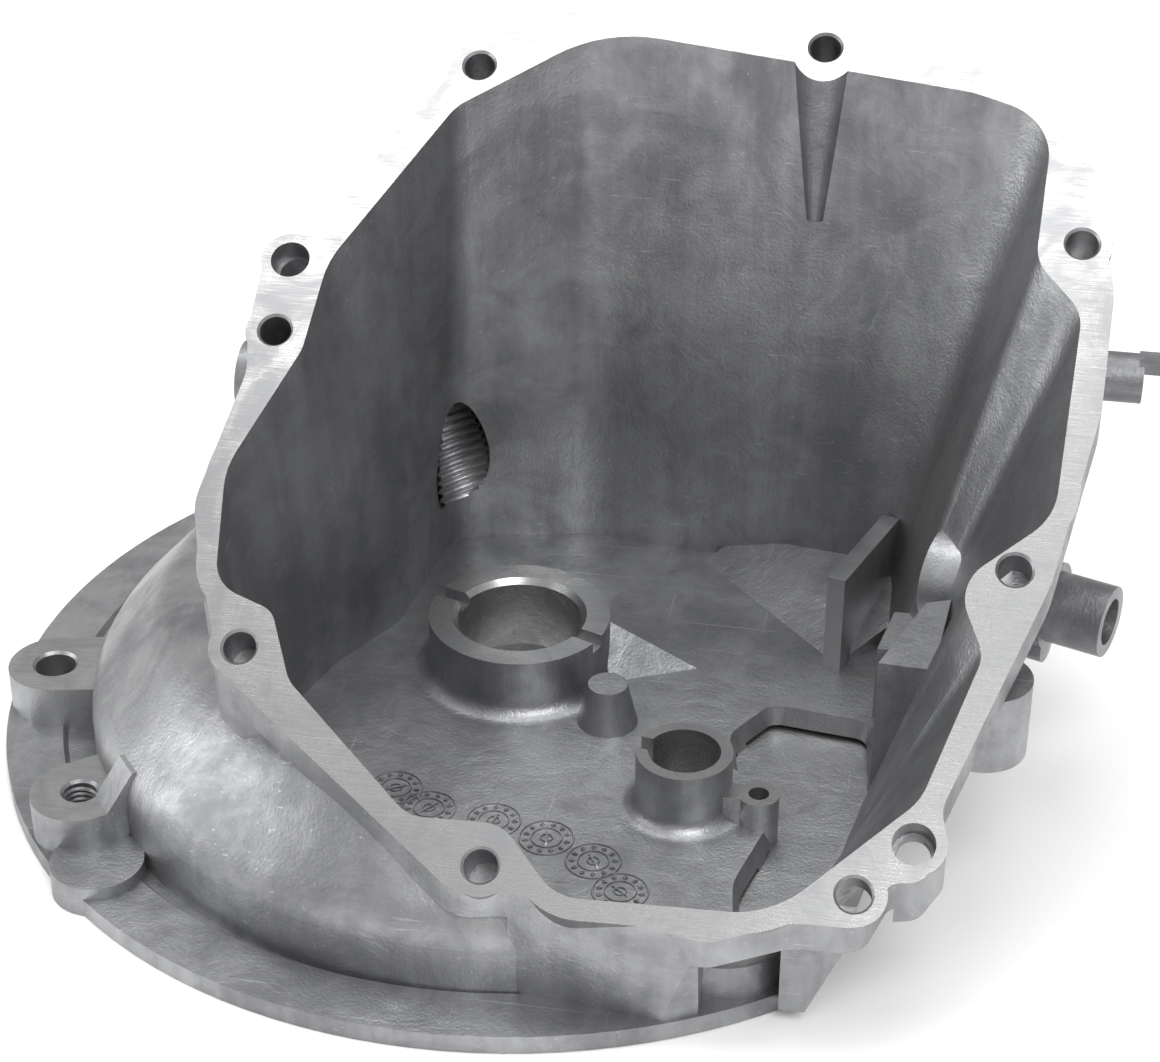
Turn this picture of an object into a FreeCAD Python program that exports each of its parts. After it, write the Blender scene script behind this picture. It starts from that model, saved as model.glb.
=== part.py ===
"""Die cast crankcase half (oil pan) of a small vertical-shaft engine.

One aluminium casting.  A round mounting base carries a deep bucket whose mouth is cut
by a slanted joint face.  The bucket floor holds the crankshaft and camshaft bearings.

Frame: millimetres, +Z up along the crankshaft.  The origin is on the crankshaft axis at
the base mounting face.  +Y is the way the slanted joint face climbs, X runs along it.
"""

import FreeCAD
import Part
import math
import os

Vector = FreeCAD.Vector

# ---------------------------------------------------------------- driving sizes
# Base ring, clamped to the deck
BASE_R = 112.1
BASE_RING_T = 4.0
BASE_RING_INNER_R = 100.0
BASE_RING_EDGE_STEP = 1.0
BASE_HOLLOW_R = 76.0
GUTTER_Z = 2.8
RING_CUT_X = 84.0
RING_CUT_Y = -10.0
RING_CUT_ANGLE = 82.0

# Mounting holes on the base
MOUNT_CIRCLE_R = 101.6
MOUNT_BOSS_TOP_Z = 13.5
MOUNT_BOSS_R = 10.2
MOUNT_BOSS_LENGTH = 12.5
MOUNT_HOLE_R = 4.4
MOUNT_THREAD_R = 3.4
MOUNT_LUG_R = 9.5
MOUNT_LUG_CENTRE_R = 105.0
MOUNT_LUG_TURN = 8.0
MOUNT_RAMP = ((99.5, 9.0), (99.5, 13.5), (93.5, 21.5), (84.0, 21.5), (84.0, 9.0))
MOUNT_RAMP_T = 7.0
PLAIN_MOUNT_ANGLE = -168.1
THREADED_MOUNT_ANGLE = -140.9
REAR_MOUNT_TURN = 240.0

# Slanted joint face
JOINT_TILT = 35.0
JOINT_Z = 96.3
FLANGE_DROP = 6.0
JOINT_HOLE_R = 3.3
JOINT_HOLE_CHAMFER = 0.5
JOINT_BOSS_TOP_R = 6.2
JOINT_BOSS_END_R = 5.4
DOWEL_R = 4.1
DOWEL_DEPTH = 6.0

# Bucket
WALL_T = 4.2
FLOOR_Z = 11.5
FLOOR_T = 4.0

# Dome: the roof between the base ring and the bucket
DOME_X = 2.0
DOME_Y = -7.0
DOME_R = 92.4
DOME_TOP_Z = 38.6
DOME_TOP_R = 74.0
DOME_SHOULDER_Z = 18.5
DOME_SHOULDER_ROUND = 12.0
DOME_TOP_ROUND = 16.0
DOME_T = 3.8

# Crankshaft bearing
CRANK_BORE_R = 13.5
CRANK_BOSS_R = 19.8
CRANK_BOSS_TOP_Z = 24.9
CRANK_BOSS_FILLET = 3.6
CRANK_CHAMFER = 1.2
SEAL_BORE_R = 19.0
SEAL_BORE_DEPTH = 8.0
SEAL_HUB_R = 24.0
OIL_SLOT_W = 3.6
OIL_SLOT_DEPTH = 2.6
OIL_SLOT_ANGLES = (163.0, -21.0)

# Camshaft bearing
CAM_X = 42.6
CAM_Y = -43.7
CAM_BORE_R = 7.4
CAM_BORE_DEPTH = 15.0
CAM_BOSS_R = 9.9
CAM_BOSS_TOP_Z = 24.9
CAM_BOSS_FILLET = 3.2
CAM_SLOT_W = 4.0
CAM_SLOT_DEPTH = 5.0
CAM_SLOT_TURN = -8.0

# Small drilled boss beside the camshaft bearing
PIN_BOSS_X = 58.2
PIN_BOSS_Y = -46.0
PIN_BOSS_R = 4.2
PIN_BOSS_TOP_Z = 18.0
PIN_HOLE_R = 2.1
PIN_HOLE_DEPTH = 7.0
PIN_WEB_T = 5.0

# Governor shaft bearing, through the right wall; lengths run from its inner end
GOVERNOR_INNER_END = (88.5, 10.4, 39.2)
GOVERNOR_TURN = -19.4
GOVERNOR_LENGTH = 39.0
GOVERNOR_BORE_R = 5.0
GOVERNOR_TUBE_R = 7.6
GOVERNOR_COLLAR_R = 9.4
GOVERNOR_COLLAR_LENGTH = 27.0
GOVERNOR_INNER_R = 10.0
GOVERNOR_INNER_LENGTH = 14.0
GOVERNOR_LOBE_R = 3.6
GOVERNOR_LOBE_OFFSET = (-3.0, -8.2)

# Post and ledge inside the right wall, under the governor bearing
POST_OUTLINE = ((79.5, -32.0), (90.5, -32.5), (92.5, -6.0), (87.5, -8.0))
POST_TOP_Z = 43.0
LEDGE_OUTLINE = ((78.0, -6.0), (110.0, -6.0), (110.0, 9.0), (80.5, 9.0))
LEDGE_Z = 29.0

# Baffle plate on the floor
BAFFLE_T = 4.0
BAFFLE_FRONT = (67.6, 9.5)
BAFFLE_BACK = (77.0, 42.0)
BAFFLE_FRONT_Z = 35.5
BAFFLE_BACK_Z = 33.0

# Sloping fill in the rear right corner, rising away from this line on the floor
RAMP_START = (34.0, 50.0)
RAMP_END = (68.5, 12.5)
RAMP_WIDTH = 30.0
RAMP_RISE = 11.0

# Pit in the front right of the floor
PIT_Z = 6.5
PIT_DRAFT = 2.0
PIT_CORNERS = (
    (57.0, -7.0, 3.0),
    (77.0, -9.5, 3.0),
    (79.5, -31.0, 6.0),
    (73.0, -55.0, 8.0),
    (67.0, -80.0, 6.0),
    (60.0, -87.0, 4.0),
    (57.5, -67.0, 12.0),
    (62.5, -46.0, 4.0),
    (54.5, -38.0, 2.0),
    (50.5, -18.0, 5.0),
)

# Gusset and column on the side of the crankshaft bearing
GUSSET_ROOT = ((15.0, 3.6, 24.9), (15.0, -7.1, 10.0), (15.0, 6.8, 10.0))
GUSSET_TIP = (40.2, 5.6, 10.6)
COLUMN_X = 22.5
COLUMN_Y = -17.5
COLUMN_FOOT_R = 7.0
COLUMN_TOP_R = 4.2
COLUMN_TOP_Z = 21.0

# Tapering rib on the rear wall, under the topmost joint bolt
SPINE_TOP = (55.3, 58.0, 137.0)
SPINE_END = (55.3, 53.6, 99.0)
SPINE_TOP_R = 7.3
SPINE_END_R = 1.8

# Oil filler port, through the rear left wall
FILLER_POINT = (-23.5, 45.0, 36.5)
FILLER_AXIS = (0.45, -0.32, -0.83)
FILLER_BORE_R = 8.0
FILLER_BOSS_R = 12.0
FILLER_BOSS_LENGTH = 34.0
FILLER_REACH = 11.0

# Bosses on the outside of the walls
PUCK_X = 101.0
PUCK_Y = -46.0
PUCK_R = 9.0
PUCK_TOP_Z = 52.0
PUCK_H = 16.5
PUCK_WEB_T = 13.0
PUCK_WEB_DROP = 2.5
ARM_Y = 22.0
ARM_Z = 83.5
ARM_R = 5.2
ARM_END_X = 127.0
ARM_HOLE_R = 2.6
ARM_HOLE_DEPTH = 12.0
PRONG_START = (126.0, 19.0, 86.0)
PRONG_SIZE = (6.5, 5.5, 2.6)
LEFT_BOSS_Y = 6.0
LEFT_BOSS_Z = 74.0
LEFT_BOSS_R = 8.0
LEFT_BOSS_END_X = -60.5

# Ribs under the floor
RIB_T = 4.0
RIB_BOTTOM_Z = 2.0
RIB_ROOT_R = 21.0
RIB_ANGLES = (14.0, 52.0, 90.0, 128.0, 166.0, 204.0, 242.0, 280.0, 318.0, 342.0)
SKIRT_T = 3.6

# Front wall, flush with the flange between these two places
FRONT_WALL_X = (17.0, 53.5)
FRONT_WALL_Z = 1.5
FRONT_WALL_DEPTH = 32.0
FRONT_WALL_FOOT_R = 110.6
FRONT_WALL_TOP_R = 117.0
FRONT_WALL_TOP_Z = 34.0

# Thick lugs of the flange at the front: x, y and height ranges and the drop
LUG_DROP = 9.0
LUG_X = (88.0, 101.0)
LUG_Y = (-92.0, -76.0)
HEEL_DROP = 12.0
HEEL_X = (-60.0, -30.0)
HEEL_Y = (-70.0, -48.0)
FRONT_WEB = ((68.0, 3.0), (73.0, 3.0), (80.0, 20.0), (83.0, 31.0), (68.0, 31.0))
FRONT_WEB_Y = (-92.5, -86.5)

# Corners of the bucket, clockwise from the rear left: first on the joint face (across,
# up the slope, corner radius), then on the floor (x, y, corner radius)
BUCKET_CORNERS = (
    ((-21.0, 49.5, 10.0), (-26.0, 50.0, 12.0)),
    ((8.0, 71.4, 30.0), (6.0, 57.0, 24.0)),
    ((87.0, 62.0, 9.0), (50.0, 52.5, 16.0)),
    ((104.0, 56.8, 13.0), (76.0, 41.0, 13.0)),
    ((103.0, 23.2, 9.0), (79.0, 7.0, 6.0)),
    ((113.0, 12.2, 9.0), (81.0, 0.0, 6.0)),
    ((111.0, -33.0, 13.0), (80.5, -31.0, 10.0)),
    ((93.5, -48.8, 9.0), (78.0, -40.0, 10.0)),
    ((100.0, -62.9, 7.0), (76.0, -54.0, 10.0)),
    ((91.0, -92.8, 12.0), (68.0, -80.0, 8.0)),
    ((66.0, -117.8, 20.0), (60.0, -88.5, 10.0)),
    ((26.0, -119.0, 10.0), (28.0, -89.5, 10.0)),
    ((14.0, -106.2, 8.0), (15.0, -82.0, 8.0)),
    ((-4.0, -106.8, 8.0), (-3.0, -81.0, 10.0)),
    ((-32.0, -82.4, 8.0), (-27.0, -62.0, 10.0)),
    ((-38.0, -68.4, 5.0), (-33.0, -52.0, 6.0)),
    ((-50.5, -64.1, 8.0), (-42.0, -47.0, 7.0)),
    ((-53.5, -39.0, 18.0), (-46.0, -28.0, 12.0)),
    ((-43.0, -11.0, 9.0), (-40.0, -7.0, 8.0)),
    ((-41.5, 9.8, 20.0), (-30.0, 12.0, 14.0)),
)

# Corners of the outer edge of the joint flange, clockwise from the rear left, on the
# joint face itself: across, up the slope, corner radius
FLANGE_CORNERS = (
    (-22.4, 65.4, 5.0),
    (4.0, 77.4, 9.0),
    (24.0, 75.5, 10.0),
    (31.0, 78.5, 6.0),
    (60.5, 75.9, 5.0),
    (67.0, 69.3, 6.0),
    (92.0, 67.9, 20.0),
    (112.5, 48.8, 18.0),
    (119.0, 17.0, 20.0),
    (118.3, -9.8, 30.0),
    (111.5, -47.0, 40.0),
    (95.0, -94.0, 6.0),
    (97.0, -101.3, 4.5),
    (92.5, -108.4, 4.0),
    (87.0, -109.3, 2.5),
    (83.0, -118.4, 5.0),
    (70.0, -118.8, 12.0),
    (55.0, -124.5, 8.0),
    (16.0, -119.1, 12.0),
    (7.0, -120.6, 8.0),
    (-46.5, -81.5, 4.0),
    (-58.5, -47.6, 14.0),
    (-53.5, -17.1, 12.0),
    (-55.2, -7.3, 5.0),
    (-55.0, 13.4, 4.5),
    (-44.0, 16.5, 4.5),
    (-32.0, 44.3, 20.0),
    (-24.8, 54.3, 12.0),
)

# Joint bolts: place of each hole on the joint face, length of its boss, depth of hole
JOINT_BOLTS = (
    (-17.6, 60.2, 20.0, 23.0),
    (-49.5, -7.0, 15.0, 18.0),
    (-43.0, -76.6, 14.0, 9.5),
    (11.3, -114.7, 13.0, 9.0),
    (80.7, -112.1, 6.0, 9.0),
    (104.4, -44.7, 12.0, 8.0),
    (111.9, 28.0, 18.0, 21.0),
    (55.3, 70.6, 22.0, 25.0),
)

# Joint holes that carry a locating dowel, laid out in the same way
DOWEL_BOLTS = (
    (-49.5, 9.6, 15.0, 18.0),
    (90.6, -101.3, 9.0, 12.0),
)

SLOPE = math.tan(math.radians(JOINT_TILT))
JOINT_NORMAL = Vector(0, -math.sin(math.radians(JOINT_TILT)), math.cos(math.radians(JOINT_TILT)))
UP = Vector(0, 0, 1)
FAR = 400.0


# ---------------------------------------------------------------- helpers
def joint_point(u, v):
    """Point of the joint face: u runs across it along X, v up the slope."""
    a = math.radians(JOINT_TILT)
    return Vector(u, v * math.cos(a), JOINT_Z + v * math.sin(a))


def polar(radius, degrees, z=0.0):
    """Point at a radius and angle about the crankshaft axis."""
    a = math.radians(degrees)
    return Vector(radius * math.cos(a), radius * math.sin(a), z)


def rounded_wire(corners):
    """Closed wire in the XY plane through (x, y, radius) corners; radius 0 stays sharp."""
    count = len(corners)
    stations = []
    for i in range(count):
        px, py, _ = corners[i - 1]
        cx, cy, radius = corners[i]
        nx, ny, _ = corners[(i + 1) % count]
        here = Vector(cx, cy, 0)
        back = (Vector(px, py, 0) - here).normalize()
        ahead = (Vector(nx, ny, 0) - here).normalize()
        half = back.getAngle(ahead) / 2.0
        reach = radius / math.tan(half)
        bisector = (back + ahead).normalize()
        middle = here + bisector * (radius / math.sin(half) - radius)
        stations.append((here + back * reach, middle, here + ahead * reach))
    edges = []
    for i in range(count):
        start, middle, end = stations[i]
        follow = stations[(i + 1) % count][0]
        if corners[i][2] > 0:
            edges.append(Part.Arc(start, middle, end).toShape())
        edges.append(Part.LineSegment(end, follow).toShape())
    return Part.Wire(edges)


def floor_wire(corners, z):
    """Rounded outline at a height."""
    wire = rounded_wire(corners)
    wire.translate(Vector(0, 0, z))
    return wire


def joint_wire(corners):
    """Rounded outline drawn on the joint face."""
    wire = rounded_wire(corners)
    wire.rotate(Vector(0, 0, 0), Vector(1, 0, 0), JOINT_TILT)
    wire.translate(Vector(0, 0, JOINT_Z))
    return wire


def turned(corners, x=0.0, y=0.0):
    """Solid of revolution about an upright axis, from (radius, z, rounding) corners."""
    wire = rounded_wire(corners)
    wire.rotate(Vector(0, 0, 0), Vector(1, 0, 0), 90)
    solid = Part.Face(wire).revolve(Vector(0, 0, 0), UP, 360)
    solid.translate(Vector(x, y, 0))
    return solid


def grown(corners, distance):
    """The same outline moved outward by a distance; corners run clockwise."""
    count = len(corners)
    result = []
    for i in range(count):
        px, py, _ = corners[i - 1]
        cx, cy, radius = corners[i]
        nx, ny, _ = corners[(i + 1) % count]
        d1 = Vector(cx - px, cy - py, 0).normalize()
        d2 = Vector(nx - cx, ny - cy, 0).normalize()
        n1 = Vector(-d1.y, d1.x, 0)
        n2 = Vector(-d2.y, d2.x, 0)
        mean = (n1 + n2).normalize()
        spot = Vector(cx, cy, 0) + mean * (distance / mean.dot(n1))
        convex = d1.cross(d2).z < 0
        new_radius = radius + distance if convex else max(radius - distance, 1.0)
        result.append((spot.x, spot.y, new_radius))
    return result


def bucket_body(distance, bottom_z):
    """Solid inside the bucket walls, grown outward by a distance, down to a height."""
    mouth = grown([corner[0] for corner in BUCKET_CORNERS], distance)
    foot = grown([corner[1] for corner in BUCKET_CORNERS], distance)
    body = Part.makeLoft([floor_wire(foot, FLOOR_Z), joint_wire(mouth)], True, True)
    if bottom_z < FLOOR_Z:
        pad = Part.Face(floor_wire(foot, bottom_z)).extrude(UP * (FLOOR_Z - bottom_z))
        body = body.fuse(pad)
    return body


def above_joint():
    """Block that fills everything above the joint face."""
    block = Part.makeBox(2 * FAR, 2 * FAR, FAR, Vector(-FAR, -FAR, 0))
    block.rotate(Vector(0, 0, 0), Vector(1, 0, 0), JOINT_TILT)
    block.translate(Vector(0, 0, JOINT_Z))
    return block


def upright(outline, bottom_z, top_z):
    """Prism standing on a polygon of (x, y) points."""
    points = [Vector(x, y, bottom_z) for x, y in outline]
    face = Part.Face(Part.makePolygon(points + [points[0]]))
    return face.extrude(UP * (top_z - bottom_z))


def along_x(radius, x0, x1, y, z):
    """Cylinder lying along X."""
    return Part.makeCylinder(radius, abs(x1 - x0), Vector(min(x0, x1), y, z), Vector(1, 0, 0))


def flared_boss(radius, fillet, bottom_z, floor_z, top_z, x, y):
    """Upright boss with a concave fillet where it meets the floor."""
    skirt = radius + 2 * fillet
    corners = (
        (0, bottom_z, 0),
        (skirt, bottom_z, 0),
        (skirt, floor_z, 0),
        (radius, floor_z, fillet),
        (radius, top_z, 0),
        (0, top_z, 0),
    )
    return turned(corners, x, y)


# ---------------------------------------------------------------- base and dome
def dome_solid(inset, bottom_z):
    """Solid of revolution inside the dome's surface, less an inset."""
    corners = (
        (0, bottom_z, 0),
        (DOME_R - inset, bottom_z, 0),
        (DOME_R - inset, DOME_SHOULDER_Z - inset / 2, DOME_SHOULDER_ROUND - inset),
        (DOME_TOP_R - inset / 2, DOME_TOP_Z - inset, DOME_TOP_ROUND - inset),
        (0, DOME_TOP_Z - inset, 0),
    )
    return turned(corners, DOME_X, DOME_Y)


def ring_cut():
    """Block that takes away the side of the base where the bucket wall stands."""
    block = Part.makeBox(FAR, 2 * FAR, FAR, Vector(0, -FAR, -10))
    block.rotate(Vector(0, 0, 0), UP, RING_CUT_ANGLE - 90)
    block.translate(Vector(RING_CUT_X, RING_CUT_Y, 0))
    return block


def base_ring():
    """Flat clamping ring with the shallow gutter inside its land."""
    corners = (
        (BASE_HOLLOW_R, 0, 0),
        (BASE_R, 0, 0),
        (BASE_R, BASE_RING_T, 0),
        (BASE_RING_INNER_R, BASE_RING_T, 0),
        (BASE_RING_INNER_R - BASE_RING_EDGE_STEP, GUTTER_Z, 0),
        (BASE_HOLLOW_R, GUTTER_Z, 0),
    )
    return turned(corners)


def base():
    """Base ring with the dome standing on it, hollow underneath."""
    solid = base_ring().fuse(dome_solid(0.0, GUTTER_Z / 2))
    return solid.cut([dome_solid(DOME_T, -DOME_T), ring_cut()])


def mount_boss(angle):
    """Boss of the base ring: round outside, running inward into the dome."""
    centre = polar(MOUNT_CIRCLE_R, angle)
    boss = Part.makeCylinder(MOUNT_BOSS_R, MOUNT_BOSS_TOP_Z, centre)
    block = Part.makeBox(
        MOUNT_BOSS_LENGTH, 2 * MOUNT_BOSS_R, MOUNT_BOSS_TOP_Z, Vector(-MOUNT_BOSS_LENGTH, -MOUNT_BOSS_R, 0)
    )
    block.rotate(Vector(0, 0, 0), UP, angle)
    block.translate(centre)
    return boss.fuse(block)


def mount_ramp(angle):
    """Rising blend from a threaded boss into the dome, on its clockwise side."""
    points = [Vector(r, MOUNT_BOSS_R - MOUNT_RAMP_T, z) for r, z in MOUNT_RAMP]
    ramp = Part.Face(Part.makePolygon(points + [points[0]])).extrude(Vector(0, MOUNT_RAMP_T, 0))
    ramp.rotate(Vector(0, 0, 0), UP, angle)
    return ramp


def mount_bosses():
    """Plain and threaded bosses, front left and again at the rear."""
    bosses = []
    for turn in (0.0, REAR_MOUNT_TURN):
        bosses.append(mount_boss(PLAIN_MOUNT_ANGLE + turn))
        bosses.append(mount_boss(THREADED_MOUNT_ANGLE + turn))
        bosses.append(mount_ramp(THREADED_MOUNT_ANGLE + turn))
        lug = polar(MOUNT_LUG_CENTRE_R, THREADED_MOUNT_ANGLE + MOUNT_LUG_TURN + turn)
        bosses.append(Part.makeCylinder(MOUNT_LUG_R, MOUNT_BOSS_TOP_Z / 2, lug))
    return bosses


def mount_holes():
    """Plain and threaded holes of the base bosses."""
    holes = []
    for turn in (0.0, REAR_MOUNT_TURN):
        for radius, angle in ((MOUNT_HOLE_R, PLAIN_MOUNT_ANGLE), (MOUNT_THREAD_R, THREADED_MOUNT_ANGLE)):
            start = polar(MOUNT_CIRCLE_R, angle + turn, -5.0)
            holes.append(Part.makeCylinder(radius, MOUNT_BOSS_TOP_Z + 10.0, start))
            rim = polar(MOUNT_CIRCLE_R, angle + turn, MOUNT_BOSS_TOP_Z - 0.6)
            holes.append(Part.makeCone(radius, radius + 0.8, 0.8, rim))
    return holes


# ---------------------------------------------------------------- bucket
def joint_flange():
    """Flat flange under the joint face."""
    return Part.Face(joint_wire(FLANGE_CORNERS)).extrude(UP * -FLANGE_DROP)


def flange_lugs():
    """Deeper parts of the flange at the front right lugs and the front left corner."""
    face = Part.Face(joint_wire(FLANGE_CORNERS))
    lugs = []
    for drop, across, along in ((LUG_DROP, LUG_X, LUG_Y), (HEEL_DROP, HEEL_X, HEEL_Y)):
        corner = Vector(across[0], along[0], 0)
        box = Part.makeBox(across[1] - across[0], along[1] - along[0], FAR, corner)
        lugs.append(face.extrude(UP * -drop).common(box))
    return lugs


def front_wall():
    """Front wall, flush with the edge of the flange down to the base ring."""
    prism = Part.Face(joint_wire(FLANGE_CORNERS)).extrude(UP * -JOINT_Z)
    x0, x1 = FRONT_WALL_X
    slot = Part.makeBox(x1 - x0, FRONT_WALL_DEPTH, JOINT_Z, Vector(x0, -BASE_R - 10, FRONT_WALL_Z))
    taper = Part.makeCone(FRONT_WALL_FOOT_R, FRONT_WALL_TOP_R, FRONT_WALL_TOP_Z)
    return prism.common(slot).common(taper)


def front_web():
    """Triangular web under the front right lugs."""
    y0, y1 = FRONT_WEB_Y
    points = [Vector(x, y0, z) for x, z in FRONT_WEB]
    return Part.Face(Part.makePolygon(points + [points[0]])).extrude(Vector(0, y1 - y0, 0))


def joint_bosses():
    """Tapered bosses under the joint bolts, square to the joint face."""
    bosses = []
    for u, v, length, _ in JOINT_BOLTS + DOWEL_BOLTS:
        start = joint_point(u, v)
        cone = Part.makeCone(JOINT_BOSS_TOP_R, JOINT_BOSS_END_R, length, start, JOINT_NORMAL * -1)
        bosses.append(cone)
    return bosses


def joint_holes():
    """Bolt holes through the joint face, with the dowel counterbores."""
    holes = []
    for u, v, _, depth in JOINT_BOLTS + DOWEL_BOLTS:
        face = joint_point(u, v)
        start = face + JOINT_NORMAL * 2.0
        holes.append(Part.makeCylinder(JOINT_HOLE_R, depth + 2.0, start, JOINT_NORMAL * -1))
        rim = JOINT_HOLE_R + JOINT_HOLE_CHAMFER
        holes.append(Part.makeCone(rim, JOINT_HOLE_R, JOINT_HOLE_CHAMFER, face, JOINT_NORMAL * -1))
    for u, v, _, _ in DOWEL_BOLTS:
        start = joint_point(u, v) + JOINT_NORMAL * 2.0
        holes.append(Part.makeCylinder(DOWEL_R, DOWEL_DEPTH + 2.0, start, JOINT_NORMAL * -1))
    return holes


# ---------------------------------------------------------------- outside bosses
def filler_boss():
    """Slanted boss outside the oil filler port."""
    axis = Vector(*FILLER_AXIS).normalize()
    start = Vector(*FILLER_POINT) - axis * FILLER_BOSS_LENGTH
    return Part.makeCylinder(FILLER_BOSS_R, FILLER_BOSS_LENGTH + FILLER_REACH, start, axis)


def filler_bore():
    """Bore of the oil filler port, opening through the wall at a slant."""
    axis = Vector(*FILLER_AXIS).normalize()
    start = Vector(*FILLER_POINT) - axis * (FILLER_BOSS_LENGTH + 5.0)
    return Part.makeCylinder(FILLER_BORE_R, FILLER_BOSS_LENGTH + 5.0 + FILLER_REACH, start, axis)


def puck_boss():
    """Round boss on the right wall, carried by a thick web."""
    low = PUCK_TOP_Z - PUCK_H
    puck = Part.makeCylinder(PUCK_R, PUCK_H, Vector(PUCK_X, PUCK_Y, low))
    web = Part.makeBox(
        PUCK_X - 70.0, PUCK_WEB_T, PUCK_H - 2 * PUCK_WEB_DROP,
        Vector(70.0, PUCK_Y - PUCK_WEB_T / 2, low + PUCK_WEB_DROP),
    )
    return puck.fuse(web)


def governor(radius, start, end, side=0.0, up=0.0):
    """Cylinder along the governor shaft, between two distances from the inner end."""
    axis = polar(1.0, GOVERNOR_TURN)
    across = polar(1.0, GOVERNOR_TURN + 90.0)
    base_point = Vector(*GOVERNOR_INNER_END) + axis * start + across * side + UP * up
    return Part.makeCylinder(radius, end - start, base_point, axis)


def outside_bosses():
    """Everything that stands out of the bucket's walls."""
    lobe_side, lobe_up = GOVERNOR_LOBE_OFFSET
    return [
        governor(GOVERNOR_TUBE_R, 0.0, GOVERNOR_LENGTH),
        governor(GOVERNOR_COLLAR_R, 0.0, GOVERNOR_COLLAR_LENGTH),
        governor(GOVERNOR_LOBE_R, 0.0, GOVERNOR_COLLAR_LENGTH, lobe_side, lobe_up),
        along_x(ARM_R, 96.0, ARM_END_X, ARM_Y, ARM_Z),
        Part.makeBox(*PRONG_SIZE, Vector(*PRONG_START)),
        along_x(LEFT_BOSS_R, -30.0, LEFT_BOSS_END_X, LEFT_BOSS_Y, LEFT_BOSS_Z),
        puck_boss(),
        filler_boss(),
    ]


# ---------------------------------------------------------------- inside the bucket
def crank_bearing():
    """Main bearing boss on the floor."""
    return flared_boss(
        CRANK_BOSS_R, CRANK_BOSS_FILLET, FLOOR_Z - FLOOR_T, FLOOR_Z, CRANK_BOSS_TOP_Z, 0, 0
    )


def crank_gusset():
    """Wedge that runs from the top of the main bearing down to the floor."""
    points = [Vector(*point) for point in GUSSET_ROOT]
    root = Part.makePolygon(points + [points[0]])
    return Part.makeLoft([root, Part.Vertex(Vector(*GUSSET_TIP))], True, True)


def crank_column():
    """Tapering column on the side of the main bearing."""
    foot = Vector(COLUMN_X, COLUMN_Y, FLOOR_Z - 2.0)
    return Part.makeCone(COLUMN_FOOT_R, COLUMN_TOP_R, COLUMN_TOP_Z - foot.z, foot)


def crank_cuts():
    """Bearing bore, its chamfer, the seal bore below and two oil slots in the top."""
    chamfer_foot = Vector(0, 0, CRANK_BOSS_TOP_Z - CRANK_CHAMFER)
    cuts = [
        Part.makeCylinder(CRANK_BORE_R, FAR, Vector(0, 0, -10)),
        Part.makeCone(CRANK_BORE_R, CRANK_BORE_R + 2 * CRANK_CHAMFER, 2 * CRANK_CHAMFER, chamfer_foot),
        Part.makeCylinder(SEAL_BORE_R, SEAL_BORE_DEPTH + 10, Vector(0, 0, -10)),
    ]
    for angle in OIL_SLOT_ANGLES:
        slot = Part.makeBox(
            CRANK_BOSS_R + 2 - CRANK_BORE_R / 2, OIL_SLOT_W, 2 * OIL_SLOT_DEPTH,
            Vector(CRANK_BORE_R / 2, -OIL_SLOT_W / 2, CRANK_BOSS_TOP_Z - OIL_SLOT_DEPTH),
        )
        slot.rotate(Vector(0, 0, 0), UP, angle)
        cuts.append(slot)
    return cuts


def cam_bearing():
    """Camshaft bearing boss with the small drilled boss webbed to it."""
    boss = flared_boss(
        CAM_BOSS_R, CAM_BOSS_FILLET, PIT_Z - FLOOR_T, FLOOR_Z, CAM_BOSS_TOP_Z, CAM_X, CAM_Y
    )
    pin = Part.makeCylinder(
        PIN_BOSS_R, PIN_BOSS_TOP_Z - PIT_Z + 2, Vector(PIN_BOSS_X, PIN_BOSS_Y, PIT_Z - 2)
    )
    web = upright(
        (
            (CAM_X, PIN_BOSS_Y - PIN_WEB_T / 2),
            (PIN_BOSS_X, PIN_BOSS_Y - PIN_WEB_T / 2),
            (PIN_BOSS_X, PIN_BOSS_Y + PIN_WEB_T / 2),
            (CAM_X, PIN_BOSS_Y + PIN_WEB_T / 2),
        ),
        PIT_Z - 2, PIN_BOSS_TOP_Z,
    )
    return boss.fuse([pin, web])


def cam_cuts():
    """Blind camshaft bore, its slot and the small drilled hole."""
    slot = Part.makeBox(
        CAM_BOSS_R + 2, CAM_SLOT_W, 2 * CAM_SLOT_DEPTH,
        Vector(-CAM_BOSS_R - 2, -CAM_SLOT_W / 2, CAM_BOSS_TOP_Z - CAM_SLOT_DEPTH),
    )
    slot.rotate(Vector(0, 0, 0), UP, CAM_SLOT_TURN)
    slot.translate(Vector(CAM_X, CAM_Y, 0))
    bore_foot = Vector(CAM_X, CAM_Y, CAM_BOSS_TOP_Z - CAM_BORE_DEPTH)
    pin_foot = Vector(PIN_BOSS_X, PIN_BOSS_Y, PIN_BOSS_TOP_Z - PIN_HOLE_DEPTH)
    return [
        Part.makeCylinder(CAM_BORE_R, FAR, bore_foot),
        Part.makeCylinder(PIN_HOLE_R, FAR, pin_foot),
        slot,
    ]


def baffle():
    """Upright plate on the floor, beside the post."""
    front = Vector(BAFFLE_FRONT[0], BAFFLE_FRONT[1], 0)
    back = Vector(BAFFLE_BACK[0], BAFFLE_BACK[1], 0)
    side = (back - front).cross(UP).normalize() * (BAFFLE_T / 2)
    low = UP * (FLOOR_Z - 1)
    face = Part.Face(Part.makePolygon([
        front - side + low, back - side + low, back - side + UP * BAFFLE_BACK_Z,
        front - side + UP * BAFFLE_FRONT_Z, front - side + low,
    ]))
    return face.extrude(side * 2)


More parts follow.
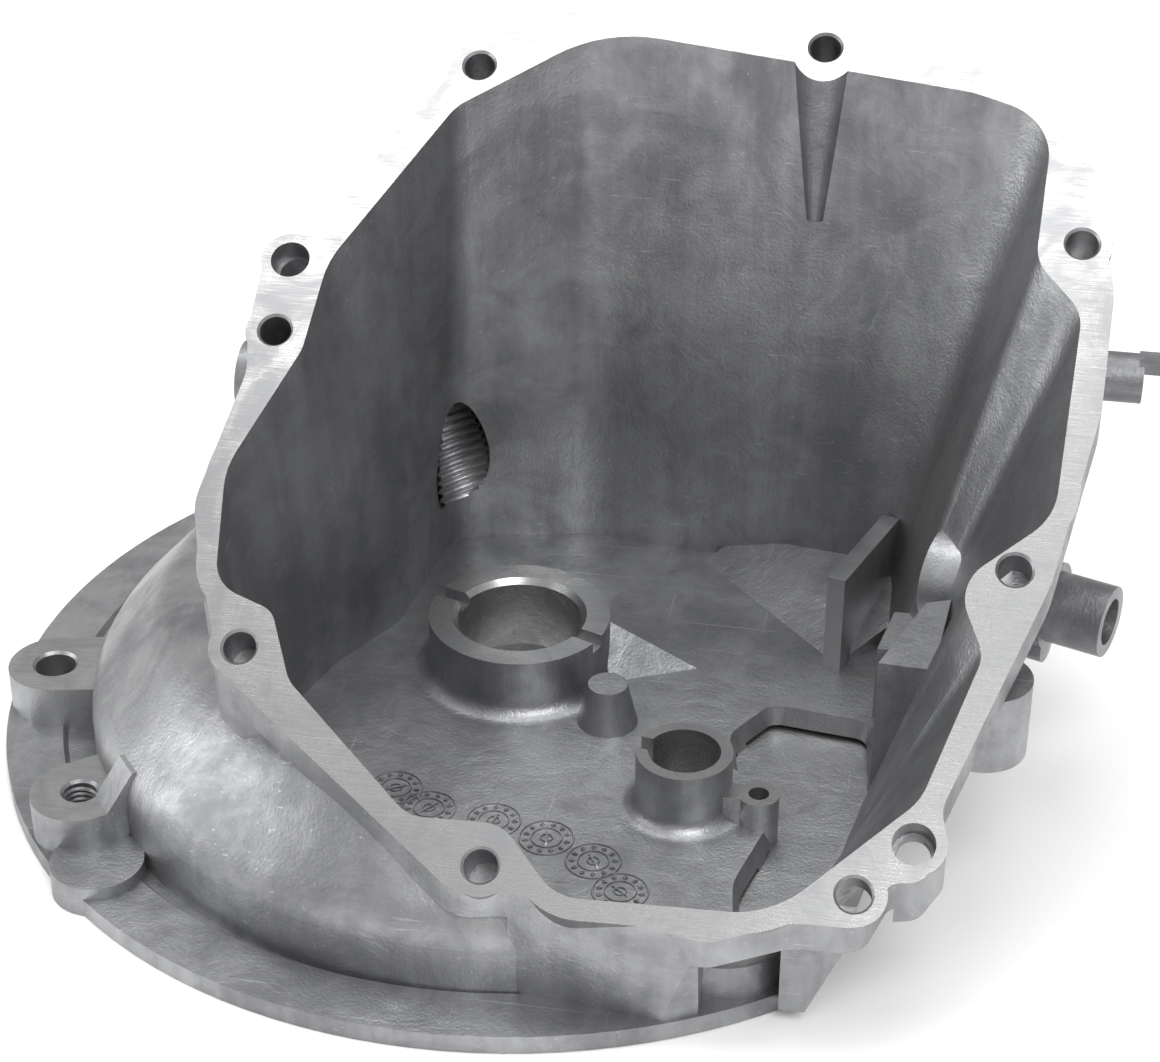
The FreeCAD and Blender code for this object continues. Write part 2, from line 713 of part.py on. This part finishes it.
def corner_ramp():
    """Sloping fill where the floor meets the rear right corner of the walls."""
    start = Vector(RAMP_START[0], RAMP_START[1], FLOOR_Z - 2.0)
    run = Vector(RAMP_END[0], RAMP_END[1], FLOOR_Z - 2.0) - start
    out = run.cross(UP).normalize() * -RAMP_WIDTH
    section = [start, start + UP * 2.0, start + out + UP * (2.0 + RAMP_RISE), start + out]
    return Part.Face(Part.makePolygon(section + [start])).extrude(run)


def rear_spine():
    """Half round rib on the rear wall that fades out downward."""
    top = Vector(*SPINE_TOP)
    run = Vector(*SPINE_END) - top
    return Part.makeCone(SPINE_TOP_R, SPINE_END_R, run.Length, top, run)


def inside_pieces():
    """Bosses, post, ledge, baffle and spine, kept within the walls."""
    pieces = [
        crank_bearing(),
        crank_gusset(),
        crank_column(),
        cam_bearing(),
        upright(POST_OUTLINE, PIT_Z - 2, POST_TOP_Z),
        upright(LEDGE_OUTLINE, PIT_Z - 2, LEDGE_Z),
        governor(GOVERNOR_INNER_R, 0.0, GOVERNOR_INNER_LENGTH),
        baffle(),
        corner_ramp(),
        rear_spine(),
    ]
    limit = bucket_body(WALL_T / 2, PIT_Z - FLOOR_T)
    return [piece.common(limit) for piece in pieces]


def pit():
    """Pit in the floor, with drafted sides."""
    low = floor_wire(PIT_CORNERS, PIT_Z)
    high = floor_wire(grown(PIT_CORNERS, PIT_DRAFT), FLOOR_Z + 1)
    return Part.makeLoft([low, high], True, True)


def pit_pan():
    """Thickness under the pit."""
    outline = grown(PIT_CORNERS, FLOOR_T)
    return Part.Face(floor_wire(outline, PIT_Z - FLOOR_T)).extrude(UP * FLOOR_T)


# ---------------------------------------------------------------- underside
def underside():
    """Seal hub, skirt under the bucket's foot and radial ribs."""
    foot = [corner[1] for corner in BUCKET_CORNERS]
    outer = Part.Face(floor_wire(grown(foot, WALL_T), 0)).extrude(UP * FLOOR_Z)
    inner = Part.Face(floor_wire(grown(foot, WALL_T - SKIRT_T), 0)).extrude(UP * FLOOR_Z)
    hub = Part.makeCylinder(SEAL_HUB_R, FLOOR_Z)
    ribs = []
    for angle in RIB_ANGLES:
        rib = Part.makeBox(DOME_R, RIB_T, FAR / 4, Vector(RIB_ROOT_R, -RIB_T / 2, RIB_BOTTOM_Z))
        rib.rotate(Vector(0, 0, 0), UP, angle)
        ribs.append(rib)
    web = ribs[0].fuse(ribs[1:]).common(dome_solid(DOME_T / 2, 0)).cut(ring_cut())
    return [outer.cut(inner), hub, web]


def housing():
    """The whole casting."""
    shell = base().fuse(
        [bucket_body(WALL_T, FLOOR_Z - FLOOR_T), joint_flange(), front_wall(), front_web(), pit_pan()]
        + flange_lugs() + mount_bosses() + joint_bosses() + outside_bosses() + underside()
    )
    body = shell.cut([bucket_body(0.0, FLOOR_Z), pit()])
    body = body.fuse(inside_pieces())
    body = body.cut([above_joint(), filler_bore()] + joint_holes() + mount_holes())
    shaft = governor(GOVERNOR_BORE_R, -2.0, GOVERNOR_LENGTH + 2.0)
    arm_hole = along_x(ARM_HOLE_R, ARM_END_X - ARM_HOLE_DEPTH, ARM_END_X + 8, ARM_Y, ARM_Z)
    return body.cut(crank_cuts() + cam_cuts() + [shaft, arm_hole])


if __name__ == "__main__":
    os.makedirs("parts", exist_ok=True)
    casting = housing()
    print("valid", casting.isValid(), "solids", len(casting.Solids), "volume", casting.Volume)
    casting.exportStep("parts/housing.step")
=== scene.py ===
"""Looks of the die cast crankcase half: materials, threads, cast marks, light and camera.

Metres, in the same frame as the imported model: the origin is on the crankshaft axis at the
base mounting face, +Z is up and +Y is the way the slanted joint face climbs.
"""
import math

import bpy
import bmesh
from mathutils import Matrix, Vector
from mathutils.bvhtree import BVHTree


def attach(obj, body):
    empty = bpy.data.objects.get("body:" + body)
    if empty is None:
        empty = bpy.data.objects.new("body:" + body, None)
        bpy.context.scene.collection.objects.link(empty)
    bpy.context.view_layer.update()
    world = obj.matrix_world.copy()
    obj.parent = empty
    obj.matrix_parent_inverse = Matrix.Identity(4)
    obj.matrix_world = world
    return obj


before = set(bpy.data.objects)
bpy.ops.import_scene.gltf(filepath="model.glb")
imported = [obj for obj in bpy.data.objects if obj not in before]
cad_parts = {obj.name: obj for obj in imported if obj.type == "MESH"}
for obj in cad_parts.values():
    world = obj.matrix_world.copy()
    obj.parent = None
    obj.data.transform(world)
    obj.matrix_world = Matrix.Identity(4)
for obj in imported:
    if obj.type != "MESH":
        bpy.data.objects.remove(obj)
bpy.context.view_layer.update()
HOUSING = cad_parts["housing"]
MM = 0.001

# ---------------------------------------------------------------- sizes shared with the CAD
JOINT_TILT = math.radians(35.0)
JOINT_Z = 96.3 * MM
JOINT_NORMAL = Vector((0.0, -math.sin(JOINT_TILT), math.cos(JOINT_TILT)))
FLOOR_Z = 11.5 * MM
FILLER_POINT = Vector((-23.5, 45.0, 36.5)) * MM
FILLER_AXIS = Vector((0.45, -0.32, -0.83)).normalized()
FILLER_R = 8.0 * MM
MOUNT_CIRCLE_R = 101.6 * MM
MOUNT_TOP_Z = 13.5 * MM
MOUNT_THREAD_R = 3.4 * MM
THREAD_ANGLES = (-140.9, 99.1)
CAM_X = 42.6 * MM
CAM_Y = -43.7 * MM
BEARING_TOP_Z = 0.0249
PIN_TOP_Z = 0.018

# ---------------------------------------------------------------- machined places
# How near a point must be to a cut face, and how square to it, to count as on it
JOINT_TOLERANCE = 0.00012
JOINT_SQUARE = 0.985
TOP_TOLERANCE = 0.00015
TOP_LEVEL = 0.99
# Cylinders that take in the bearing bores with their chamfers, and their upper limit
CRANK_BORE_REACH = 0.0149
CAM_BORE_REACH = 0.0078
BORE_TOP_Z = 0.0252

# ---------------------------------------------------------------- tones of the metal
SKIN_DARK = (0.20, 0.203, 0.21, 1.0)
SKIN_PALE = (0.40, 0.403, 0.41, 1.0)
PIT_TONE = (0.07, 0.07, 0.073, 1.0)
SCRATCH_TONE = (0.62, 0.63, 0.64, 1.0)
CUT_DARK = (0.30, 0.303, 0.31, 1.0)
CUT_PALE = (0.46, 0.46, 0.457, 1.0)
METALLIC = 0.92
RELIEF_DEPTH = 0.00035
RELIEF_STRENGTH = 0.8

# ---------------------------------------------------------------- threads and date marks
THREAD_OVERLAP = 0.0001
FILLER_THREAD_BACK = 0.030
FILLER_THREAD_LENGTH = 0.044
FILLER_THREAD_DEPTH = 0.0012
FILLER_THREAD_PITCH = 0.0020
MOUNT_THREAD_START_Z = 0.0005
MOUNT_THREAD_DEPTH = 0.0006
MOUNT_THREAD_PITCH = 0.00125
MOUNT_THREAD_SHORT = 0.0025
MARK_SINK = 0.00005
MARK_HEIGHT = 0.00045
# Rings of a date mark: radius, width, height, segments
MARK_RINGS = (
    (0.0055, 0.0005, 0.0004, 40),
    (0.0031, 0.0004, 0.0004, 28),
    (0.0012, 0.0004, 0.0004, 16),
)
MARK_TICKS = 12
MARK_TICK_R = 0.0043


# ---------------------------------------------------------------- node helpers
class Nodes:
    """Short names for building a material's node tree."""

    def __init__(self, material):
        material.use_nodes = True
        self.tree = material.node_tree
        self.tree.nodes.clear()
        self.output = self.tree.nodes.new("ShaderNodeOutputMaterial")
        self.shader = self.tree.nodes.new("ShaderNodeBsdfPrincipled")
        self.tree.links.new(self.shader.outputs["BSDF"], self.output.inputs["Surface"])

    def link(self, source, target):
        """Connects a socket, or sets a plain value on it."""
        if isinstance(source, (int, float, tuple)):
            target.default_value = source
        else:
            self.tree.links.new(source, target)

    def set(self, name, value):
        self.link(value, self.shader.inputs[name])

    def coords(self):
        return self.tree.nodes.new("ShaderNodeTexCoord").outputs["Object"]

    def normal(self):
        return self.tree.nodes.new("ShaderNodeNewGeometry").outputs["Normal"]

    def math(self, operation, a, b=0.0):
        node = self.tree.nodes.new("ShaderNodeMath")
        node.operation = operation
        self.link(a, node.inputs[0])
        self.link(b, node.inputs[1])
        return node.outputs[0]

    def vector(self, operation, a, b=(0.0, 0.0, 0.0), output="Vector"):
        node = self.tree.nodes.new("ShaderNodeVectorMath")
        node.operation = operation
        self.link(a, node.inputs[0])
        self.link(b, node.inputs[1])
        return node.outputs[output]

    def dot(self, a, b):
        return self.vector("DOT_PRODUCT", a, b, "Value")

    def split(self, source):
        node = self.tree.nodes.new("ShaderNodeSeparateXYZ")
        self.link(source, node.inputs[0])
        return node.outputs

    def mapped(self, source, scale, turn=(0.0, 0.0, 0.0)):
        node = self.tree.nodes.new("ShaderNodeMapping")
        self.link(source, node.inputs["Vector"])
        node.inputs["Scale"].default_value = scale
        node.inputs["Rotation"].default_value = turn
        return node.outputs[0]

    def noise(self, source, scale, detail=4.0, roughness=0.55, distortion=0.0):
        node = self.tree.nodes.new("ShaderNodeTexNoise")
        self.link(source, node.inputs["Vector"])
        node.inputs["Scale"].default_value = scale
        node.inputs["Detail"].default_value = detail
        node.inputs["Roughness"].default_value = roughness
        node.inputs["Distortion"].default_value = distortion
        return node.outputs["Fac"]

    def voronoi(self, source, scale):
        node = self.tree.nodes.new("ShaderNodeTexVoronoi")
        self.link(source, node.inputs["Vector"])
        node.inputs["Scale"].default_value = scale
        return node.outputs["Distance"]

    def ramp(self, source, low, high, out_low=0.0, out_high=1.0):
        node = self.tree.nodes.new("ShaderNodeMapRange")
        node.interpolation_type = "SMOOTHSTEP"
        self.link(source, node.inputs["Value"])
        node.inputs["From Min"].default_value = low
        node.inputs["From Max"].default_value = high
        node.inputs["To Min"].default_value = out_low
        node.inputs["To Max"].default_value = out_high
        return node.outputs[0]

    def mix(self, factor, a, b):
        node = self.tree.nodes.new("ShaderNodeMix")
        node.data_type = "RGBA"
        self.link(factor, node.inputs[0])
        self.link(a, node.inputs[6])
        self.link(b, node.inputs[7])
        return node.outputs[2]

    def blend(self, factor, a, b):
        node = self.tree.nodes.new("ShaderNodeMix")
        self.link(factor, node.inputs[0])
        self.link(a, node.inputs[2])
        self.link(b, node.inputs[3])
        return node.outputs[0]

    def bump(self, height, distance, strength=1.0):
        node = self.tree.nodes.new("ShaderNodeBump")
        node.inputs["Strength"].default_value = strength
        node.inputs["Distance"].default_value = distance
        self.link(height, node.inputs["Height"])
        self.tree.links.new(node.outputs[0], self.shader.inputs["Normal"])


def any_of(nodes, masks):
    """Highest of several masks."""
    result = masks[0]
    for mask in masks[1:]:
        result = nodes.math("MAXIMUM", result, mask)
    return result


# ---------------------------------------------------------------- cast aluminium
def cast_material():
    """Satin cast skin, with bright cut faces and bores where the casting is machined."""
    material = bpy.data.materials.new("cast_aluminium_look")
    n = Nodes(material)
    place = n.coords()
    facing = n.normal()
    z = n.split(place)[2]
    up = n.split(facing)[2]

    # where the metal is cut: joint face, bearing tops, base bosses
    height = n.math("SUBTRACT", n.dot(place, tuple(JOINT_NORMAL)), JOINT_Z * math.cos(JOINT_TILT))
    near = n.math("LESS_THAN", n.math("ABSOLUTE", height), JOINT_TOLERANCE)
    square = n.math("GREATER_THAN", n.dot(facing, tuple(JOINT_NORMAL)), JOINT_SQUARE)
    joint = n.math("MULTIPLY", near, square)
    level = n.math("GREATER_THAN", up, TOP_LEVEL)

    def at_height(value):
        above = n.math("ABSOLUTE", n.math("SUBTRACT", z, value))
        close = n.math("LESS_THAN", above, TOP_TOLERANCE)
        return n.math("MULTIPLY", close, level)

    def radius_from(cx, cy):
        offset = n.vector("SUBTRACT", place, (cx, cy, 0.0))
        return n.vector("LENGTH", n.vector("MULTIPLY", offset, (1.0, 1.0, 0.0)), output="Value")

    top = at_height(BEARING_TOP_Z)
    boss_top = at_height(MOUNT_TOP_Z)
    pin_top = at_height(PIN_TOP_Z)
    faces = any_of(n, [joint, top, boss_top, pin_top])

    crank_bore = n.math("LESS_THAN", radius_from(0.0, 0.0), CRANK_BORE_REACH)
    cam_bore = n.math("LESS_THAN", radius_from(CAM_X, CAM_Y), CAM_BORE_REACH)
    inside = n.math("LESS_THAN", z, BORE_TOP_Z)
    bores = n.math("MULTIPLY", any_of(n, [crank_bore, cam_bore]), inside)
    cut = n.math("MAXIMUM", faces, bores)

    # cast skin: clouds, flow marks down the walls, dark pits and pale rubbed spots
    clouds = n.noise(place, 22.0, 5.0, 0.6, 0.4)
    patches = n.noise(place, 70.0, 6.0, 0.65, 0.8)
    flow = n.noise(n.mapped(place, (1.0, 1.0, 0.12)), 150.0, 5.0, 0.6)
    grain = n.noise(place, 1500.0, 3.0, 0.6)
    tone = n.math("ADD", n.math("MULTIPLY", clouds, 0.5), n.math("MULTIPLY", patches, 0.3))
    tone = n.math("ADD", tone, n.math("MULTIPLY", flow, 0.2))
    skin = n.mix(n.ramp(tone, 0.38, 0.64), SKIN_DARK, SKIN_PALE)
    pits = n.ramp(n.voronoi(place, 260.0), 0.05, 0.0)
    pits = n.math("MULTIPLY", pits, n.ramp(patches, 0.52, 0.62))
    skin = n.mix(n.math("MULTIPLY", pits, 0.75), skin, PIT_TONE)
    scratch_a = n.noise(n.mapped(place, (6.0, 300.0, 300.0), (0.3, 0.5, 0.7)), 4.0, 2.0)
    scratch_b = n.noise(n.mapped(place, (300.0, 5.0, 300.0), (0.8, 0.2, 0.4)), 4.0, 2.0)
    scratches = n.math("MAXIMUM", n.ramp(scratch_a, 0.70, 0.74), n.ramp(scratch_b, 0.70, 0.74))
    skin = n.mix(n.math("MULTIPLY", scratches, 0.35), skin, SCRATCH_TONE)

    # cut metal: fine tool lines, faint stains
    lines = n.noise(n.mapped(place, (30.0, 900.0, 900.0), (0.0, 0.0, 0.9)), 5.0, 3.0)
    stains = n.noise(place, 55.0, 6.0, 0.7, 1.2)
    cut_tone = n.math("ADD", n.math("MULTIPLY", lines, 0.35), n.math("MULTIPLY", stains, 0.65))
    metal = n.mix(n.ramp(cut_tone, 0.40, 0.62), CUT_DARK, CUT_PALE)

    n.set("Base Color", n.mix(cut, skin, metal))
    n.set("Metallic", METALLIC)
    skin_rough = n.ramp(tone, 0.35, 0.65, 0.50, 0.36)
    cut_rough = n.ramp(cut_tone, 0.40, 0.62, 0.34, 0.24)
    n.set("Roughness", n.blend(cut, skin_rough, cut_rough))
    relief = n.math("ADD", n.math("MULTIPLY", grain, 0.35), n.math("MULTIPLY", patches, 0.9))
    relief = n.math("ADD", relief, n.math("MULTIPLY", flow, 0.5))
    relief = n.math("SUBTRACT", relief, n.math("MULTIPLY", pits, 0.6))
    cut_relief = n.math("MULTIPLY", lines, 0.06)
    n.bump(n.blend(cut, relief, cut_relief), RELIEF_DEPTH, RELIEF_STRENGTH)
    return material


HOUSING_LOOK = cast_material()
for index in range(max(1, len(HOUSING.material_slots))):
    HOUSING.material_slots[index].material = HOUSING_LOOK


# ---------------------------------------------------------------- mesh helpers
def finish_piece(name, mesh, material):
    """Object from a mesh, riding on the casting."""
    mesh.name = name
    piece = bpy.data.objects.new(name, mesh)
    bpy.context.scene.collection.objects.link(piece)
    piece.data.materials.append(material)
    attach(piece, "root")
    return piece


def thread_mesh(start, axis, radius, depth, pitch, length, segments=48, keep=None):
    """Helical ridge standing inward from a bore's wall."""
    side = axis.orthogonal().normalized()
    other = axis.cross(side)
    bm = bmesh.new()
    profile = ((0.0, 0.0), (0.36, 1.0), (0.64, 1.0), (1.0, 0.0))
    rows = []
    steps = int(length / pitch * segments)
    for i in range(steps + 1):
        angle = 2.0 * math.pi * i / segments
        out = side * math.cos(angle) + other * math.sin(angle)
        base = start + axis * (pitch * i / segments)
        rows.append([
            bm.verts.new(base + axis * (pitch * along) + out * (radius - depth * high))
            for along, high in profile
        ])
    for i in range(steps):
        for j in range(len(profile) - 1):
            middle = (rows[i][j].co + rows[i + 1][j + 1].co) / 2
            if keep is None or keep(middle, start, axis):
                bm.faces.new((rows[i][j], rows[i + 1][j], rows[i + 1][j + 1], rows[i][j + 1]))
    loose = [v for v in bm.verts if not v.link_faces]
    bmesh.ops.delete(bm, geom=loose, context="VERTS")
    bmesh.ops.recalc_face_normals(bm, faces=bm.faces)
    for face in bm.faces:
        face.smooth = True
    mesh = bpy.data.meshes.new("thread")
    bm.to_mesh(mesh)
    bm.free()
    return mesh


def casting_tree():
    """Search tree over the casting's surface."""
    bm = bmesh.new()
    bm.from_mesh(HOUSING.data)
    tree = BVHTree.FromBMesh(bm)
    bm.free()
    return tree


TREE = casting_tree()


def wall_behind(radius):
    """Test that keeps a thread only where the bore has its wall."""
    def keep(point, start, axis):
        offset = point - start
        centre = start + axis * offset.dot(axis)
        out = (point - centre).normalized()
        hit = TREE.ray_cast(centre, out, radius * 1.25)
        return hit[0] is not None and abs((hit[0] - centre).length - radius) < 0.0004
    return keep


filler_start = FILLER_POINT - FILLER_AXIS * FILLER_THREAD_BACK
filler_thread = thread_mesh(
    filler_start, FILLER_AXIS, FILLER_R + THREAD_OVERLAP, FILLER_THREAD_DEPTH,
    FILLER_THREAD_PITCH, FILLER_THREAD_LENGTH, keep=wall_behind(FILLER_R),
)
finish_piece("filler_thread", filler_thread, HOUSING_LOOK)

for index, degrees in enumerate(THREAD_ANGLES):
    angle = math.radians(degrees)
    foot = Vector((
        MOUNT_CIRCLE_R * math.cos(angle), MOUNT_CIRCLE_R * math.sin(angle), MOUNT_THREAD_START_Z,
    ))
    mesh = thread_mesh(
        foot, Vector((0, 0, 1)), MOUNT_THREAD_R + THREAD_OVERLAP, MOUNT_THREAD_DEPTH,
        MOUNT_THREAD_PITCH, MOUNT_TOP_Z - MOUNT_THREAD_SHORT, 36,
    )
    finish_piece("mount_thread_%d" % index, mesh, HOUSING_LOOK)


# ---------------------------------------------------------------- cast date marks
def box_into(bm, centre, size, turn):
    """Low block with sloping sides, standing on the floor."""
    spin = Matrix.Rotation(turn, 4, "Z")
    low = []
    high = []
    for sx, sy in ((-1, -1), (1, -1), (1, 1), (-1, 1)):
        corner = Vector((sx * size[0] / 2, sy * size[1] / 2, 0.0))
        low.append(bm.verts.new(centre + spin @ corner))
        high.append(bm.verts.new(centre + spin @ (corner * 0.7) + Vector((0, 0, size[2]))))
    bm.faces.new(high)
    for i in range(4):
        j = (i + 1) % 4
        bm.faces.new((low[i], low[j], high[j], high[i]))


def ring_into(bm, centre, radius, width, height, segments):
    """Low raised ring standing on the floor."""
    profile = ((-0.5, 0.0), (-0.2, 1.0), (0.2, 1.0), (0.5, 0.0))
    rows = []
    for i in range(segments):
        angle = 2.0 * math.pi * i / segments
        out = Vector((math.cos(angle), math.sin(angle), 0.0))
        rows.append([
            bm.verts.new(centre + out * (radius + width * across) + Vector((0, 0, height * high)))
            for across, high in profile
        ])
    for i in range(segments):
        following = rows[(i + 1) % segments]
        for j in range(len(profile) - 1):
            bm.faces.new((rows[i][j], following[j], following[j + 1], rows[i][j + 1]))


# Places of the date marks on the bucket floor, in millimetres
DATE_MARKS = (
    (-16.3, -49.0), (-8.1, -54.4), (5.7, -56.1), (17.3, -59.8), (27.8, -65.4), (34.6, -73.8),
)
bm = bmesh.new()
for k, (mark_x, mark_y) in enumerate(DATE_MARKS):
    centre = Vector((mark_x * MM, mark_y * MM, FLOOR_Z - MARK_SINK))
    for radius, width, height, segments in MARK_RINGS:
        ring_into(bm, centre, radius, width, height, segments)
    for i in range(MARK_TICKS):
        angle = math.pi * i / 6 + 0.3 * k
        out = Vector((math.cos(angle), math.sin(angle), 0.0))
        box_into(bm, centre + out * MARK_TICK_R, (0.0013, 0.0005, MARK_HEIGHT), angle)
        box_into(bm, centre + out * MARK_TICK_R, (0.0004, 0.0011, MARK_HEIGHT), angle)
    box_into(bm, centre, (0.0050, 0.0005, MARK_HEIGHT), 0.5 + 0.4 * k)
bmesh.ops.recalc_face_normals(bm, faces=bm.faces)
mesh = bpy.data.meshes.new("date_marks")
bm.to_mesh(mesh)
bm.free()
finish_piece("date_marks", mesh, HOUSING_LOOK)


# ---------------------------------------------------------------- floor, light, camera
def floor_material():
    material = bpy.data.materials.new("floor_look")
    n = Nodes(material)
    n.set("Base Color", (0.93, 0.93, 0.93, 1.0))
    n.set("Roughness", 0.85)
    return material


def add_floor():
    mesh = bpy.data.meshes.new("studio_floor")
    half = 3.0
    corners = [(-half, -half, 0.0), (half, -half, 0.0), (half, half, 0.0), (-half, half, 0.0)]
    mesh.from_pydata(corners, [], [(0, 1, 2, 3)])
    floor = bpy.data.objects.new("studio_floor", mesh)
    floor.location.z = -0.0002
    bpy.context.scene.collection.objects.link(floor)
    floor.data.materials.append(floor_material())


def add_light(name, place, target, size, power):
    data = bpy.data.lights.new(name, "AREA")
    data.shape = "RECTANGLE"
    data.size, data.size_y = size
    data.energy = power
    lamp = bpy.data.objects.new(name, data)
    lamp.location = place
    lamp.rotation_euler = (Vector(target) - Vector(place)).to_track_quat("-Z", "Y").to_euler()
    bpy.context.scene.collection.objects.link(lamp)


def add_camera():
    data = bpy.data.cameras.new("camera")
    data.lens = 82.91
    data.sensor_width = 36.0
    data.sensor_fit = "HORIZONTAL"
    data.clip_start = 0.01
    camera = bpy.data.objects.new("camera", data)
    turn = Matrix.Rotation(math.radians(10.04), 4, "Z")
    turn = turn @ Matrix.Rotation(math.radians(90.0 - 31.39), 4, "X")
    turn = turn @ Matrix.Rotation(math.radians(0.22), 4, "Z")
    camera.matrix_world = Matrix.Translation((0.0978, -0.4773, 0.3431)) @ turn
    bpy.context.scene.collection.objects.link(camera)
    bpy.context.scene.camera = camera


add_floor()
add_light("front_box", (0.35, -0.55, 0.75), (0.05, 0.0, 0.04), (0.5, 0.5), 5.0)
add_light("top_box", (-0.05, 0.15, 0.95), (0.0, 0.0, 0.05), (0.7, 0.6), 4.5)
add_light("left_box", (-0.8, -0.25, 0.4), (0.0, 0.0, 0.05), (0.5, 0.6), 3.5)
add_camera()

world = bpy.data.worlds.new("studio")
world.use_nodes = True
world.node_tree.nodes["Background"].inputs["Color"].default_value = (1.0, 1.0, 1.0, 1.0)
world.node_tree.nodes["Background"].inputs["Strength"].default_value = 0.6
bpy.context.scene.world = world
bpy.context.scene.view_settings.view_transform = "Standard"
